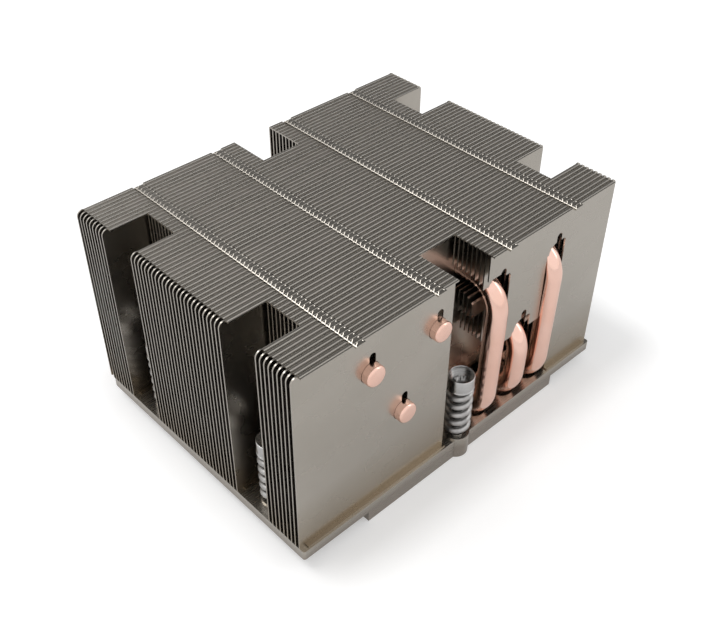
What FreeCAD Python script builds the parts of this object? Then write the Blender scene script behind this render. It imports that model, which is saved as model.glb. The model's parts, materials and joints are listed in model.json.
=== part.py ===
import FreeCAD, Part
import os

import Sketcher
from FreeCAD import Vector

# Passive heatsink of a server processor socket: a machined base with a pedestal below, six
# bent heat pipes, a pack of folded sheet fins with six driver wells, and six captive spring
# screws. Air runs along X, the fins are stacked along Y, +Z points away from the processor,
# and the origin is on the contact plane under the middle of the fin pack. The pack's sides
# are called near (-Y), far (+Y), front (-X) and rear (+X).

SIZES = {
    # fin sheets and the wells between them
    "fin_pitch": 1.5,
    "fin_thickness": 0.4,
    "fin_length": 118.0,
    "fin_corner_radius": 1.7,
    "fin_fold_radius": 0.3,
    "flange_relief": 0.3,
    "overall_height": 66.0,
    "outer_fins": 9,
    "notch_fins": 8,
    "center_fins": 25,
    "corner_well_length": 13.4,
    "middle_well_length": 13.1,
    # tabs and windows that lock each sheet to the next one
    "zip_outer_offset": 39.9,
    "zip_inner_offset": 13.2,
    "zip_window_length": 3.5,
    "zip_window_depth": 1.3,
    "zip_window_reach": 0.55,
    "zip_tab_side_gap": 0.25,
    "zip_tab_end_gap": 0.15,
    "zip_tab_rise": 0.15,
    # base
    "base_width": 87.6,
    "base_shift": -1.0,
    "base_corner_radius": 0.8,
    "plate_thickness": 3.1,
    "pedestal_height": 3.6,
    "pedestal_length": 77.0,
    "pedestal_shift": 2.1,
    "boss_height": 0.6,
    "boss_radius": 3.7,
    # heat pipes
    "pipe_radius": 3.0,
    "pipe_bend_radius": 9.0,
    "pipe_first_offset": 11.9,
    "pipe_spacing": 11.55,
    "pipe_low_height": 7.2,
    "pipe_middle_height": 32.6,
    "pipe_high_height": 53.0,
    "pipe_lean": 1.6,
    "pipe_end_proud": 1.45,
    "pipe_end_round": 0.8,
    "pipe_tail_round": 2.6,
    "pipe_tail_gap": 0.25,
    "solder_gap": 0.1,
    "groove_end_radius": 3.5,
    "groove_end_inset": 3.55,
    "ear_radius": 1.05,
    "ear_offset": 0.65,
    "ear_rise": 5.7,
    "riser_slot_inward": 3.8,
    "riser_slot_outward": 3.65,
    "riser_lobe_radius": 1.0,
    "riser_lobe_rise": 3.1,
    "riser_bay_height": 31.3,
    "riser_lip_height": 42.5,
    "riser_skin_rise": 4.5,
    "bend_pass_gap": 0.45,
    # captive screws
    "screw_corner_inset": 6.3,
    "screw_corner_spread": 49.0,
    "screw_middle_spread": 83.2,
    "screw_hole_radius": 2.0,
    "screw_radius": 1.75,
    "screw_neck_radius": 1.4,
    "screw_tip_height": 0.8,
    "screw_tip_chamfer": 0.4,
    "screw_head_radius": 3.75,
    "screw_head_height": 4.5,
    "screw_cup_radius": 3.3,
    "screw_cup_depth": 1.9,
    "screw_collar_radius": 3.75,
    "screw_collar_height": 0.6,
    "screw_spigot_gap": 0.2,
    "screw_spigot_height": 1.2,
    "drive_radius": 1.45,
    "drive_lobe_radius": 0.45,
    "drive_depth": 0.9,
    "clip_radius": 2.8,
    "clip_thickness": 0.5,
    "clip_play": 0.05,
    "clip_opening": 2.2,
    "clip_seat_gap": 0.1,
    "clip_pocket_gap": 0.3,
    "spring_length": 17.3,
    "spring_wire_radius": 0.9,
    "spring_mean_radius": 2.87,
    "spring_turns": 5.0,
    "spring_seat_gap": 0.05,
}

# Places worked out from the sizes above
DERIVED = {
    "plate_bottom": "=pedestal_height",
    "plate_top": "=pedestal_height + plate_thickness",
    "boss_top": "=plate_top + boss_height",
    "fin_end": "=fin_length / 2",
    "notch_end": "=fin_length / 2 - corner_well_length",
    "well_side": "=middle_well_length / 2",
    "fin_count": "=2 * outer_fins + 2 * notch_fins + center_fins",
    "pack_side": "=fin_count * fin_pitch / 2",
    "flange_reach": "=fin_pitch - fin_thickness",
    "pipe_side": "=pack_side - flange_reach",
    "pipe_tail_side": "=pack_side - outer_fins * fin_pitch - pipe_tail_gap",
    "base_length": "=fin_length",
    "base_near": "=base_shift - base_width / 2",
    "base_far": "=base_shift + base_width / 2",
    "screw_corner_x": "=base_length / 2 - screw_corner_inset",
    "spring_top": "=boss_top + spring_length",
    "head_top": "=spring_top + screw_head_height",
    "clip_top": "=plate_bottom - clip_seat_gap",
}

doc = FreeCAD.newDocument("heatsink")
sheet = doc.addObject("Spreadsheet::Sheet", "sizes")


def fill_sheet():
    """Write the driving sizes as text and the worked out places as formulas, each with its alias."""
    for row, (name, value) in enumerate({**SIZES, **DERIVED}.items(), 1):
        sheet.set("A%d" % row, name)
        sheet.set("B%d" % row, str(value))
        sheet.setAlias("B%d" % row, name)
    doc.recompute()


def read(name):
    """The number that a cell of the sheet holds."""
    return float(sheet.get(name))


def cells(text):
    """Write a formula of plain aliases as one that names the sheet; sin( and cos( stay."""
    words = []
    for word in text.split():
        is_name = word[0].isalpha() and not word.endswith("(")
        words.append("sizes." + word if is_name else word)
    return " ".join(words)


def tie(thing, **formulas):
    """Bind properties of an object to formulas; a double underscore in a name stands for a dot."""
    for name, formula in formulas.items():
        thing.setExpression(name.replace("__", "."), cells(formula))


def place(thing, x="0", y="0", z="0"):
    """Bind an object's position to formulas."""
    tie(thing, Placement__Base__x=x, Placement__Base__y=y, Placement__Base__z=z)


def size_box(thing, x0, x1, y0, y1, z0, z1):
    """Bind a box to the formulas of its six sides."""
    tie(thing, Length="( %s ) - ( %s )" % (x1, x0), Width="( %s ) - ( %s )" % (y1, y0),
        Height="( %s ) - ( %s )" % (z1, z0))
    place(thing, x0, y0, z0)


def loose_box(name, *sides):
    """A box outside any body."""
    made = doc.addObject("Part::Box", name)
    size_box(made, *sides)
    return made


def loose_rod(name, x, y0, y1, z, radius):
    """A cylinder along Y outside any body."""
    made = doc.addObject("Part::Cylinder", name)
    made.Placement = FreeCAD.Placement(Vector(0, 0, 0), FreeCAD.Rotation(Vector(1, 0, 0), -90))
    tie(made, Radius=radius, Height="( %s ) - ( %s )" % (y1, y0))
    place(made, x, y0, z)
    return made


def loose_axle(name, x0, x1, y, z, radius):
    """A cylinder along X outside any body."""
    made = doc.addObject("Part::Cylinder", name)
    made.Placement = FreeCAD.Placement(Vector(0, 0, 0), FreeCAD.Rotation(Vector(0, 1, 0), 90))
    tie(made, Radius=radius, Height="( %s ) - ( %s )" % (x1, x0))
    place(made, x0, y, z)
    return made


def loose_post(name, x, y, z0, z1, radius):
    """An upright cylinder outside any body."""
    made = doc.addObject("Part::Cylinder", name)
    tie(made, Radius=radius, Height="( %s ) - ( %s )" % (z1, z0))
    place(made, x, y, z0)
    return made


def joined(name, things):
    """Several shapes made one."""
    made = doc.addObject("Part::MultiFuse", name)
    made.Shapes = things
    return made


def cut(name, base, tool):
    """One shape less another."""
    made = doc.addObject("Part::Cut", name)
    made.Base = base
    made.Tool = tool
    return made


def linked(name, thing):
    """Another copy of a piece, with a place of its own."""
    made = doc.addObject("App::Link", name)
    made.LinkedObject = thing
    made.Label = name
    return made


def new_body(name):
    """An empty body."""
    made = doc.addObject("PartDesign::Body", name)
    made.Label = name
    return made


def feature(owner, kind, name):
    """A new feature of a body, which leaves faces as they were cut."""
    made = owner.newObject("PartDesign::" + kind, name)
    if "Refine" in made.PropertiesList:
        made.Refine = False
    return made


def body_box(owner, name, *sides, kind="AdditiveBox"):
    """A box that is added to a body or cut from it."""
    made = feature(owner, kind, name)
    size_box(made, *sides)
    return made


def body_post(owner, name, z0, z1, radius, x="0", kind="AdditiveCylinder"):
    """An upright cylinder that is added to a body or cut from it."""
    made = feature(owner, kind, name)
    tie(made, Radius=radius, Height="( %s ) - ( %s )" % (z1, z0))
    place(made, x, "0", z0)
    return made


def body_fillet(owner, name, base, radius, chosen):
    """Round the edges of a feature whose middle point and direction pass a test."""
    doc.recompute()
    names = []
    for number, edge in enumerate(base.Shape.Edges, 1):
        along = edge.Vertexes[-1].Point - edge.Vertexes[0].Point
        if chosen(edge.CenterOfMass, along):
            names.append("Edge%d" % number)
    made = feature(owner, "Fillet", name)
    made.Base = (base, names)
    tie(made, Radius=radius)
    return made


def origin_part(owner, role):
    """A plane or axis of a body's own origin."""
    return next(item for item in owner.Origin.OriginFeatures if item.Role == role)


def near(a, b):
    """Whether two numbers are the same within a hundredth."""
    return abs(a - b) < 0.01


# Fin sheets

def fin_sheet(name, front, rear, front_corner, rear_corner):
    """One folded sheet between two X formulas, with its wall's near face on the plane Y = 0.

    The top and bottom flanges reach towards -Y, as far as the next sheet's wall. At an end that
    is outside of the pack, the flanges stop short of the wall's rounded top corner.
    """
    made = new_body(name)
    x0 = front + (" + fin_corner_radius + flange_relief" if front_corner else "")
    x1 = rear + (" - fin_corner_radius - flange_relief" if rear_corner else "")
    channel = body_box(made, name + "_channel", x0, x1, "-1 * flange_reach", "fin_thickness",
                       "plate_top", "overall_height")
    thickness = read("fin_thickness")
    top = read("overall_height")

    def is_fold(middle, along):
        return near(middle.y, thickness) and abs(along.x) > 1

    body_fillet(made, name + "_folds", channel, "fin_fold_radius", is_fold)
    body_box(made, name + "_inside", x0 + " - 1", x1 + " + 1", "-2 * flange_reach", "0",
             "plate_top + fin_thickness", "overall_height - fin_thickness", kind="SubtractiveBox")
    ends = []
    last = None
    if front_corner:
        last = body_box(made, name + "_front_edge", front, x0, "0", "fin_thickness",
                        "plate_top", "overall_height")
        doc.recompute()
        ends.append(last.Shape.BoundBox.XMin)
    if rear_corner:
        last = body_box(made, name + "_rear_edge", x1, rear, "0", "fin_thickness",
                        "plate_top", "overall_height")
        doc.recompute()
        ends.append(last.Shape.BoundBox.XMax)

    def is_corner(middle, along):
        return near(middle.z, top) and any(near(middle.x, end) for end in ends) and abs(along.y) > 0.1

    if ends:
        body_fillet(made, name + "_corners", last, "fin_corner_radius", is_corner)
    doc.recompute()
    span = made.Shape.BoundBox
    for side, sign in (("front", "-1"), ("rear", "1")):
        for rank in ("inner", "outer"):
            if span.XMin < float(sign) * read("zip_%s_offset" % rank) < span.XMax:
                zip_lock(made, "%s_%s_%s" % (name, side, rank), "%s * zip_%s_offset" % (sign, rank))
    return made


def zip_lock(owner, name, middle):
    """The window in a sheet's top fold, and the tab that reaches into the window before it."""
    body_box(owner, name + "_window",
             middle + " - zip_window_length / 2", middle + " + zip_window_length / 2",
             "-1 * zip_window_reach", "2 * fin_thickness",
             "overall_height - zip_window_depth", "2 * overall_height", kind="SubtractiveBox")
    half = "( zip_window_length / 2 - zip_tab_side_gap )"
    body_box(owner, name + "_tab", middle + " - " + half, middle + " + " + half,
             "-1 * fin_pitch - zip_window_reach + zip_tab_end_gap", "-1 * zip_window_reach",
             "overall_height - fin_thickness", "overall_height + zip_tab_rise")


RANKS = ("inner", "middle", "outer")
LEVELS = ("pipe_high_height", "pipe_middle_height", "pipe_high_height")
SHEET_SPAN = ("-2 * fin_pitch", "fin_pitch")


def pipe_offset(number):
    """The distance of a pipe's upper leg from the middle."""
    return "( pipe_first_offset + %d * pipe_spacing )" % number


def upper_tools(half):
    """Cutters through a sheet for the upper legs of one half: a hole and its solder ear each."""
    sign = "-1" if half == "front" else "1"
    made = []
    for number, (rank, level) in enumerate(zip(RANKS, LEVELS)):
        name = "%s_%s" % (half, rank)
        center = "%s * %s" % (sign, pipe_offset(number))
        crown = level + " + ear_rise - ear_radius"
        made.append(loose_rod("hole_" + name, center, *SHEET_SPAN, level, "pipe_radius + solder_gap"))
        made.append(loose_box("ear_" + name, center + " + ear_offset - ear_radius",
                              center + " + ear_offset + ear_radius", *SHEET_SPAN, level, crown))
        made.append(loose_rod("ear_top_" + name, center + " + ear_offset", *SHEET_SPAN, crown,
                              "ear_radius"))
    return made


def lower_place(half, number, level):
    """X and Z of a pipe's lower leg, which the pipe's lean brings nearer to the middle."""
    sign = "-1" if half == "front" else "1"
    drop = "( %s - pipe_low_height )" % level
    return ("%s * ( %s - %s * sin( pipe_lean ) )" % (sign, pipe_offset(number), drop),
            level + " - " + drop + " * cos( pipe_lean )")


def lower_tools(half):
    """Cutters for the arches over the lower legs of one half."""
    made = []
    for number, (rank, level) in enumerate(zip(RANKS, LEVELS)):
        x, z = lower_place(half, number, level)
        made.append(loose_rod("arch_%s_%s" % (half, rank), x, *SHEET_SPAN, z,
                              "pipe_radius + solder_gap"))
    return made


def riser_tools(half, kind):
    """Cutters for the sheets beside the risers: a slot for each pipe, and the open bay below.

    The outermost sheet, of kind skin, and the sheets that the risers pass, of kind bay, are open
    further up beside the first riser. Those of kind behind have no slot for it.
    """
    outward = -1 if half == "front" else 1
    name = "%s_%s_" % (half, kind)
    below = "plate_top - 1"
    made = []

    def across(part_name, inner, outer, bottom, top):
        """A cutter between two distances outward from the middle."""
        sides = (inner, outer) if outward > 0 else ("-1 * ( %s )" % outer, "-1 * ( %s )" % inner)
        made.append(loose_box(name + part_name, *sides, *SHEET_SPAN, bottom, top))

    for number, (rank, level) in enumerate(zip(RANKS, LEVELS)):
        if kind == "behind" and number == 0:
            continue
        center = pipe_offset(number)
        edge = center + " + riser_slot_outward"
        crown = level + " + riser_lobe_rise - riser_lobe_radius"
        across(rank + "_slot", center + " - riser_slot_inward", edge, below, level)
        across(rank + "_lobe", center, edge, level, crown)
        across(rank + "_crown", center, edge + " - riser_lobe_radius", crown,
               level + " + riser_lobe_rise")
        made.append(loose_rod(name + rank + "_round",
                              "%d * ( %s - riser_lobe_radius )" % (outward, edge),
                              *SHEET_SPAN, crown, "riser_lobe_radius"))
    across("bay", "well_side - 1", pipe_offset(2) + " + riser_slot_outward", below,
           "riser_bay_height")
    lip_tops = {"skin": "pipe_high_height + riser_skin_rise", "bay": "pipe_high_height",
                "behind": "riser_lip_height"}
    across("lip", "well_side - 1", "pipe_first_offset", below, lip_tops[kind])
    return made


def bend_pass(half):
    """A cutter along the first pipe's upper bend and leg, which leaves them open to the well."""
    name = half + "_bend_pass"
    outer = "pipe_bend_radius + pipe_radius + bend_pass_gap"
    inner = "pipe_bend_radius - pipe_radius - bend_pass_gap"
    start = "pipe_high_height - pipe_bend_radius"
    reach = "( %s + riser_slot_outward )" % pipe_offset(0)
    if half == "front":
        x = ("-1 * " + reach, "1 - well_side")
        hub = "pipe_side - pipe_bend_radius"
        bend = (hub, "pipe_side + 2 * pipe_radius")
        leg = ("pack_side - ( outer_fins + 1 ) * fin_pitch", hub)
    else:
        x = ("well_side - 1", reach)
        hub = "pipe_bend_radius - pipe_side"
        bend = ("-1 * pipe_side - 2 * pipe_radius", hub)
        leg = (hub, "( outer_fins + 1 ) * fin_pitch - pack_side")
    ring = cut(name + "_ring", loose_axle(name + "_outside", *x, hub, start, outer),
               loose_axle(name + "_inside", *x, hub, start, inner))
    quarter = doc.addObject("Part::MultiCommon", name + "_quarter")
    quarter.Shapes = [ring, loose_box(name + "_corner", *x, *bend, start, start + " + " + outer)]
    straight = loose_box(name + "_leg", *x, *leg, "pipe_high_height - pipe_radius - bend_pass_gap",
                         "pipe_high_height + pipe_radius + bend_pass_gap")
    return joined(name, [quarter, straight])


def fin_row(name, master, first, count):
    """Copies of a sheet at the pack's pitch, from the sheet with the given number on."""
    made = []
    for number in range(count):
        copy = linked("%s_%02d" % (name, number + 1), master)
        place(copy, "0", "fin_pitch * ( %s + %d ) + flange_reach - pack_side" % (first, number))
        made.append(copy)
    return made


def grouped(name, things):
    """Several separate sheets as one group."""
    made = doc.addObject("Part::Compound", name)
    made.Links = things
    return made


def fin_parts():
    """The six outer groups of sheets, and the sheets of the middle, each by itself."""
    outer = int(read("outer_fins"))
    notch = int(read("notch_fins"))
    far_notch = "outer_fins + notch_fins + center_fins"
    far_outer = "outer_fins + 2 * notch_fins + center_fins"

    front_blank = fin_sheet("front_half_sheet", "-1 * fin_end", "-1 * well_side", True, False)
    rear_blank = fin_sheet("rear_half_sheet", "well_side", "fin_end", False, True)
    notch_blank = fin_sheet("notch_blank", "-1 * notch_end", "notch_end", False, False)
    full_blank = fin_sheet("full_blank", "-1 * fin_end", "fin_end", True, True)

    front_holes = upper_tools("front")
    rear_holes = upper_tools("rear")
    all_holes = joined("all_holes", front_holes + rear_holes + lower_tools("front")
                       + lower_tools("rear"))
    plain_front = cut("plain_front_sheet", front_blank, joined("front_holes", front_holes))
    plain_rear = cut("plain_rear_sheet", rear_blank, joined("rear_holes", rear_holes))
    skin_front = cut("skin_front_sheet", front_blank,
                     joined("skin_front_cut", front_holes + riser_tools("front", "skin")))
    bay_front = cut("bay_front_sheet", front_blank,
                    joined("bay_front_cut", front_holes + riser_tools("front", "bay")))
    skin_rear = cut("skin_rear_sheet", rear_blank,
                    joined("skin_rear_cut", rear_holes + riser_tools("rear", "skin")))
    bay_rear = cut("bay_rear_sheet", rear_blank,
                   joined("bay_rear_cut", rear_holes + riser_tools("rear", "bay")))
    behind_front = cut("behind_front_sheet", front_blank,
                       joined("behind_front_cut", front_holes + riser_tools("front", "behind")))
    behind_rear = cut("behind_rear_sheet", rear_blank,
                      joined("behind_rear_cut", rear_holes + riser_tools("rear", "behind")))
    notch_sheet = cut("notch_sheet", notch_blank, all_holes)
    full_sheet = cut("full_sheet", full_blank, all_holes)

    passed = int(read("pipe_radius") / read("fin_pitch") + 0.01)
    behind = outer - 1 - passed
    groups = {
        "fins_near_front": fin_row("near_front", plain_front, "0", outer),
        "fins_near_rear": fin_row("near_rear_skin", skin_rear, "0", 1)
        + fin_row("near_rear_bay", bay_rear, "1", passed)
        + fin_row("near_rear", behind_rear, str(1 + passed), behind),
        "fins_near_notch": fin_row("near_notch", notch_sheet, "outer_fins", notch),
        "fins_far_notch": fin_row("far_notch", notch_sheet, far_notch, notch),
        "fins_far_front": fin_row("far_front", behind_front, far_outer, behind)
        + fin_row("far_front_bay", bay_front, far_outer + " + %d" % behind, passed)
        + fin_row("far_front_skin", skin_front, far_outer + " + outer_fins - 1", 1),
        "fins_far_rear": fin_row("far_rear", plain_rear, far_outer, outer),
    }
    passes = {"fins_near_rear": "rear", "fins_far_front": "front"}
    made = {}
    for name, sheets in groups.items():
        if name in passes:
            made[name] = cut(name, grouped(name + "_rows", sheets), bend_pass(passes[name]))
        else:
            made[name] = grouped(name, sheets)
    for copy in fin_row("center_fin", full_sheet, "outer_fins + notch_fins",
                        int(read("center_fins"))):
        made[copy.Label] = copy
    return made


# Heat pipes

def add_rules(sketch, rules):
    """Add dimensions to a sketch: each a constraint, its name and the formula that drives it."""
    for rule, name, formula in rules:
        number = sketch.addConstraint(rule)
        sketch.renameConstraint(number, name)
        tie(sketch, **{"Constraints__" + name: formula})


def pipe_path(owner, name, level):
    """The middle line in the YZ plane, with the upper leg on the body's own Y axis."""
    path = owner.newObject("Sketcher::SketchObject", name)
    path.AttachmentSupport = (origin_part(owner, "YZ_Plane"), [""])
    path.MapMode = "FlatFace"
    bend = read("pipe_bend_radius")
    side = -read("pipe_side")
    low = read("pipe_low_height") - read(level)
    tail = read("pipe_tail_side")
    end = read("pack_side") + read("pipe_end_proud")
    slack = bend * (1 - 0.5 ** 0.5)
    path.addGeometry([
        Part.LineSegment(Vector(tail, low, 0), Vector(side + bend, low, 0)),
        Part.Arc(Vector(side + bend, low, 0), Vector(side + slack, low + slack, 0),
                 Vector(side, low + bend, 0)),
        Part.LineSegment(Vector(side, low + bend, 0), Vector(side, -bend, 0)),
        Part.Arc(Vector(side, -bend, 0), Vector(side + slack, -slack, 0),
                 Vector(side + bend, 0, 0)),
        Part.LineSegment(Vector(side + bend, 0, 0), Vector(end, 0, 0)),
    ], False)
    starts = {}
    for number in (1, 3):
        before = path.getPoint(number - 1, 2)
        forward = path.getPoint(number, 1).distanceToPoint(before) < 0.001
        starts[number] = (1, 2) if forward else (2, 1)
    path.addConstraint([
        Sketcher.Constraint("Horizontal", 0),
        Sketcher.Constraint("Vertical", 2),
        Sketcher.Constraint("PointOnObject", 4, 1, -1),
        Sketcher.Constraint("PointOnObject", 4, 2, -1),
        Sketcher.Constraint("Tangent", 0, 2, 1, starts[1][0]),
        Sketcher.Constraint("Tangent", 1, starts[1][1], 2, 1),
        Sketcher.Constraint("Tangent", 2, 2, 3, starts[3][0]),
        Sketcher.Constraint("Tangent", 3, starts[3][1], 4, 1),
        Sketcher.Constraint("Equal", 1, 3),
    ])
    add_rules(path, (
        (Sketcher.Constraint("Radius", 1, bend), "bend", "pipe_bend_radius"),
        (Sketcher.Constraint("DistanceX", -1, 1, 0, 1, tail), "tail", "pipe_tail_side"),
        (Sketcher.Constraint("DistanceY", -1, 1, 0, 1, low), "low", "pipe_low_height - " + level),
        (Sketcher.Constraint("DistanceX", -1, 1, 2, 1, side), "side", "-1 * pipe_side"),
        (Sketcher.Constraint("DistanceX", -1, 1, 4, 2, end), "end", "pack_side + pipe_end_proud"),
    ))
    return path


def pipe_body(name, level, radius, rounded):
    """A bent pipe: a leg in the base, a riser beside the near sheets and a leg through the pack."""
    made = new_body(name)
    path = pipe_path(made, name + "_path", level)
    section = made.newObject("Sketcher::SketchObject", name + "_section")
    section.AttachmentSupport = (origin_part(made, "XZ_Plane"), [""])
    section.MapMode = "FlatFace"
    tie(section, AttachmentOffset__Base__z="-1 * pipe_tail_side")
    low = read("pipe_low_height") - read(level)
    section.addGeometry(Part.Circle(Vector(0, low, 0), Vector(0, 0, 1), read("pipe_radius")), False)
    section.addConstraint(Sketcher.Constraint("PointOnObject", 0, 3, -2))
    add_rules(section, (
        (Sketcher.Constraint("DistanceY", -1, 1, 0, 3, low), "low", "pipe_low_height - " + level),
        (Sketcher.Constraint("Radius", 0, read("pipe_radius")), "radius", radius),
    ))
    doc.recompute()
    tube = feature(made, "AdditivePipe", name + "_tube")
    tube.Profile = section
    tube.Spine = (path, [""])
    if rounded:
        end = read("pack_side") + read("pipe_end_proud")
        tail = read("pipe_tail_side")

        def at_end(middle, along):
            return near(middle.y, end) and near(middle.z, 0)

        def at_tail(middle, along):
            return near(middle.y, tail) and near(middle.z, low)

        ended = body_fillet(made, name + "_end", tube, "pipe_end_round", at_end)
        body_fillet(made, name + "_tail", ended, "pipe_tail_round", at_tail)
    return made


def pipe_copies(prefix, high, middle):
    """Six placed copies: the rear three rise at the near side, the front three at the far side.

    A pipe leans about its upper leg, so its lower leg is nearer to the middle of the base.
    """
    made = []
    for half, sign, turn in (("front", "-1", "180"), ("rear", "1", "0")):
        for number, (rank, level) in enumerate(zip(RANKS, LEVELS)):
            copy = linked("%s_%s_%s" % (prefix, half, rank), middle if rank == "middle" else high)
            x = cells("%s * %s" % (sign, pipe_offset(number)))
            copy.setExpression("Placement", "placement(vector(%s; 0; %s); rotation(%s; %s; 0))"
                               % (x, cells(level), turn, cells("pipe_lean")))
            made.append(copy)
    return made


# Base

def screw_places():
    """Name, X, Y and lower end of the boss of each screw."""
    made = []
    for side, way in (("near", "-"), ("far", "+")):
        y = "base_shift %s screw_corner_spread / 2" % way
        made.append(("front_" + side, "-1 * screw_corner_x", y, "plate_bottom"))
        made.append(("rear_" + side, "screw_corner_x", y, "plate_bottom"))
        made.append(("middle_" + side, "0", "base_shift %s screw_middle_spread / 2" % way, "0"))
    return made


def base_plate(grooves):
    """The machined base: plate, pedestal, screw bosses, screw holes, clip pockets and grooves."""
    plate = new_body("plate")
    slab = body_box(plate, "slab", "base_length / -2", "base_length / 2", "base_near", "base_far",
                    "plate_bottom", "plate_top")

    def is_upright(middle, along):
        return abs(along.z) > 1

    body_fillet(plate, "slab_corners", slab, "base_corner_radius", is_upright)
    solids = [plate, loose_box("pedestal", "pedestal_shift - pedestal_length / 2",
                               "pedestal_shift + pedestal_length / 2",
                               "base_near", "base_far", "0", "plate_bottom")]
    cutters = []
    for name, x, y, bottom in screw_places():
        solids.append(loose_post("boss_" + name, x, y, bottom, "boss_top", "boss_radius"))
        cutters.append(loose_post("screw_hole_" + name, x, y, "-1", "boss_top + 1",
                                  "screw_hole_radius"))
        if bottom == "0":
            cutters.append(loose_post("clip_pocket_" + name, x, y, "-1", "plate_bottom",
                                      "clip_radius + clip_pocket_gap"))
    for half, way in (("front", "1"), ("rear", "-1")):
        for number, (rank, level) in enumerate(zip(RANKS, LEVELS)):
            x, z = lower_place(half, number, level)
            cutters.append(loose_post("groove_end_%s_%s" % (half, rank), x,
                                      way + " * ( pipe_side - groove_end_inset )",
                                      z + " - pipe_radius - solder_gap", "plate_top + 1",
                                      "groove_end_radius"))
    return cut("base_plate", joined("base_solid", solids),
               joined("base_cutters", cutters + grooves))


# Captive screws

def screw_body():
    """A captive screw: shank, spigot, collar and a cup with its six-lobe drive."""
    made = new_body("screw_blank")
    body_post(made, "shank", "screw_tip_height + screw_tip_chamfer", "spring_top", "screw_radius")
    tip = feature(made, "AdditiveCone", "tip")
    tie(tip, Radius1="screw_radius - screw_tip_chamfer", Radius2="screw_radius",
        Height="screw_tip_chamfer")
    place(tip, "0", "0", "screw_tip_height")
    body_post(made, "spigot", "spring_top - screw_spigot_height", "spring_top",
              "spring_mean_radius - spring_wire_radius - screw_spigot_gap")
    body_post(made, "collar", "spring_top", "spring_top + screw_collar_height",
              "screw_collar_radius")
    body_post(made, "head", "spring_top", "head_top", "screw_head_radius")
    body_post(made, "cup", "head_top - screw_cup_depth", "head_top + 1", "screw_cup_radius",
              kind="SubtractiveCylinder")
    drive_bottom = "head_top - screw_cup_depth - drive_depth"
    body_post(made, "drive", drive_bottom, "head_top", "drive_radius", kind="SubtractiveCylinder")
    lobe = body_post(made, "lobe", drive_bottom, "head_top", "drive_lobe_radius", x="drive_radius",
                     kind="SubtractiveCylinder")
    doc.recompute()
    lobes = feature(made, "PolarPattern", "lobes")
    lobes.Originals = [lobe]
    lobes.Axis = (origin_part(made, "Z_Axis"), [""])
    lobes.Angle = 360
    lobes.Occurrences = 6
    made.Tip = lobes
    return made


def screw_piece():
    """The screw with the neck that holds its clip."""
    ring = cut("neck_ring",
               loose_post("neck_outside", "0", "0", "clip_top - clip_thickness - clip_play",
                          "clip_top + clip_play", "2 * screw_radius"),
               loose_post("neck_inside", "0", "0", "0", "plate_top", "screw_neck_radius"))
    return cut("screw_piece", screw_body(), ring)


def clip_piece():
    """The open retaining ring in the screw's neck, under the plate."""
    made = new_body("clip_piece")
    body_post(made, "ring", "clip_top - clip_thickness", "clip_top", "clip_radius")
    body_post(made, "ring_bore", "clip_top - 2 * clip_thickness", "clip_top + clip_thickness",
              "screw_neck_radius + clip_play", kind="SubtractiveCylinder")
    body_box(made, "ring_mouth", "0", "2 * clip_radius", "clip_opening / -2", "clip_opening / 2",
             "clip_top - 2 * clip_thickness", "clip_top + clip_thickness", kind="SubtractiveBox")
    return made


def spring_piece():
    """The coil spring between a boss and the collar of its screw."""
    made = new_body("spring_piece")
    wire = made.newObject("Sketcher::SketchObject", "wire")
    wire.AttachmentSupport = (origin_part(made, "XZ_Plane"), [""])
    wire.MapMode = "FlatFace"
    start = read("boss_top") + read("spring_seat_gap") + read("spring_wire_radius")
    center = Vector(read("spring_mean_radius"), start, 0)
    wire.addGeometry(Part.Circle(center, Vector(0, 0, 1), read("spring_wire_radius")), False)
    add_rules(wire, (
        (Sketcher.Constraint("DistanceX", -1, 1, 0, 3, center.x), "mean", "spring_mean_radius"),
        (Sketcher.Constraint("DistanceY", -1, 1, 0, 3, start), "start",
         "boss_top + spring_seat_gap + spring_wire_radius"),
        (Sketcher.Constraint("Radius", 0, read("spring_wire_radius")), "wire", "spring_wire_radius"),
    ))
    doc.recompute()
    coil = feature(made, "AdditiveHelix", "coil")
    coil.Profile = wire
    coil.ReferenceAxis = (wire, ["V_Axis"])
    coil.Mode = "height-turns-angle"
    tie(coil, Height="spring_length - 2 * spring_seat_gap - 2 * spring_wire_radius",
        Turns="spring_turns")
    return made


fill_sheet()
parts = {}

pipes = pipe_copies("heat_pipe",
                    pipe_body("high_pipe", "pipe_high_height", "pipe_radius", True),
                    pipe_body("middle_pipe", "pipe_middle_height", "pipe_radius", True))
rooms = pipe_copies("groove",
                    pipe_body("high_room", "pipe_high_height", "pipe_radius + solder_gap", False),
                    pipe_body("middle_room", "pipe_middle_height", "pipe_radius + solder_gap", False))
parts["base_plate"] = base_plate(rooms)
for pipe in pipes:
    parts[pipe.Label] = pipe
parts.update(fin_parts())

masters = {"screw": screw_piece(), "clip": clip_piece(), "spring": spring_piece()}
for place_name, x, y, bottom in screw_places():
    for kind, master in masters.items():
        copy = linked("%s_%s" % (kind, place_name), master)
        place(copy, x, y)
        parts[copy.Label] = copy

doc.recompute()

for thing in doc.Objects:
    if "Invalid" in thing.State or "Error" in thing.State:
        raise RuntimeError("%s could not be made: %s" % (thing.Label, thing.State))

os.makedirs("parts", exist_ok=True)
for label, thing in parts.items():
    shape = Part.getShape(thing)
    if shape.isNull() or not shape.isValid():
        raise RuntimeError("%s has no valid shape" % label)
    shape.exportStep("parts/%s.step" % label)
    print(label, len(shape.Solids), round(shape.Volume, 1))
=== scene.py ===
import json
import math

import bmesh
import bpy
from bpy.props import FloatProperty, FloatVectorProperty, IntProperty, PointerProperty
from bpy.types import Operator, Panel, PropertyGroup
from mathutils import Matrix, Vector

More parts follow.
